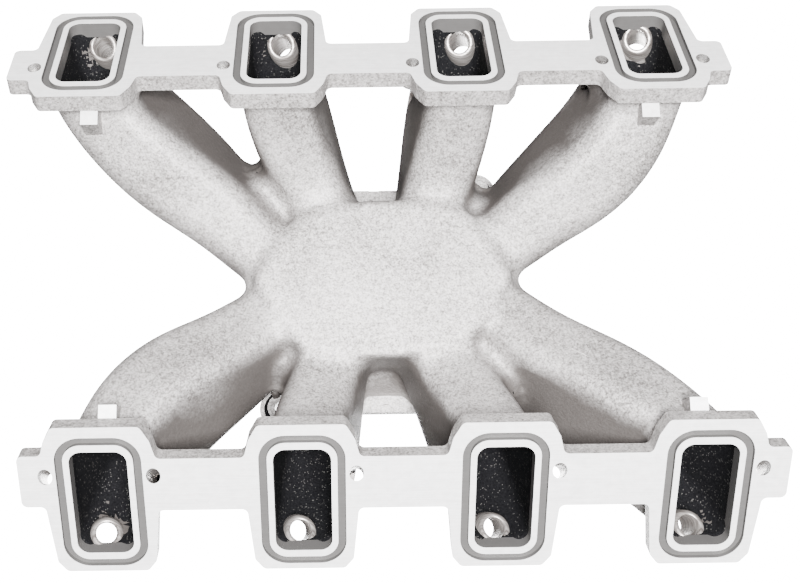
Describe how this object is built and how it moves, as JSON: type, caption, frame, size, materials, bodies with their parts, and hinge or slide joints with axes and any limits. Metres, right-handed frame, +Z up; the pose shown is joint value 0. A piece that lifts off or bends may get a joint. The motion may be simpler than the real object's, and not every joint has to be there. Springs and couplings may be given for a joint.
{
  "type": "intake manifold",
  "caption": "Single-plane V8 intake manifold: hollow curved runners from a square carburettor pad and plenum to two tilted port flanges with seal grooves.",
  "frame": {"origin": "centre of the carburettor pad's machined top, at the centre of its four tapped holes", "axes": "+X to the front of the engine, +Y to the left bank, +Z up out of the carburettor pad"},
  "size_m": [0.4394, 0.342, 0.1405],
  "materials": {
    "cast_aluminium": "as cast, fine sand grain, matt",
    "machined_aluminium": "milled, satin, with fine feed marks"
  },
  "bodies": {
    "root": {"bolt_bosses_left": "cast_aluminium", "bolt_bosses_right": "cast_aluminium", "bracket_lug_1": "cast_aluminium", "bracket_lug_8": "cast_aluminium", "carb_flange": "machined_aluminium", "casting_tag": "cast_aluminium", "datum_pad_1": "cast_aluminium", "datum_pad_2": "cast_aluminium", "datum_pad_7": "cast_aluminium", "datum_pad_8": "cast_aluminium", "injector_boss_1": "cast_aluminium", "injector_boss_2": "cast_aluminium", "injector_boss_3": "cast_aluminium", "injector_boss_4": "cast_aluminium", "injector_boss_5": "cast_aluminium", "injector_boss_6": "cast_aluminium", "injector_boss_7": "cast_aluminium", "injector_boss_8": "cast_aluminium", "plenum_cage": "cast_aluminium", "plenum_crown": "cast_aluminium", "plenum_floor": "cast_aluminium", "port_flange_left": "machined_aluminium", "port_flange_right": "machined_aluminium", "runner_1": "cast_aluminium", "runner_2": "cast_aluminium", "runner_3": "cast_aluminium", "runner_4": "cast_aluminium", "runner_5": "cast_aluminium", "runner_6": "cast_aluminium", "runner_7": "cast_aluminium", "runner_8": "cast_aluminium"}
  },
  "joints": []
}
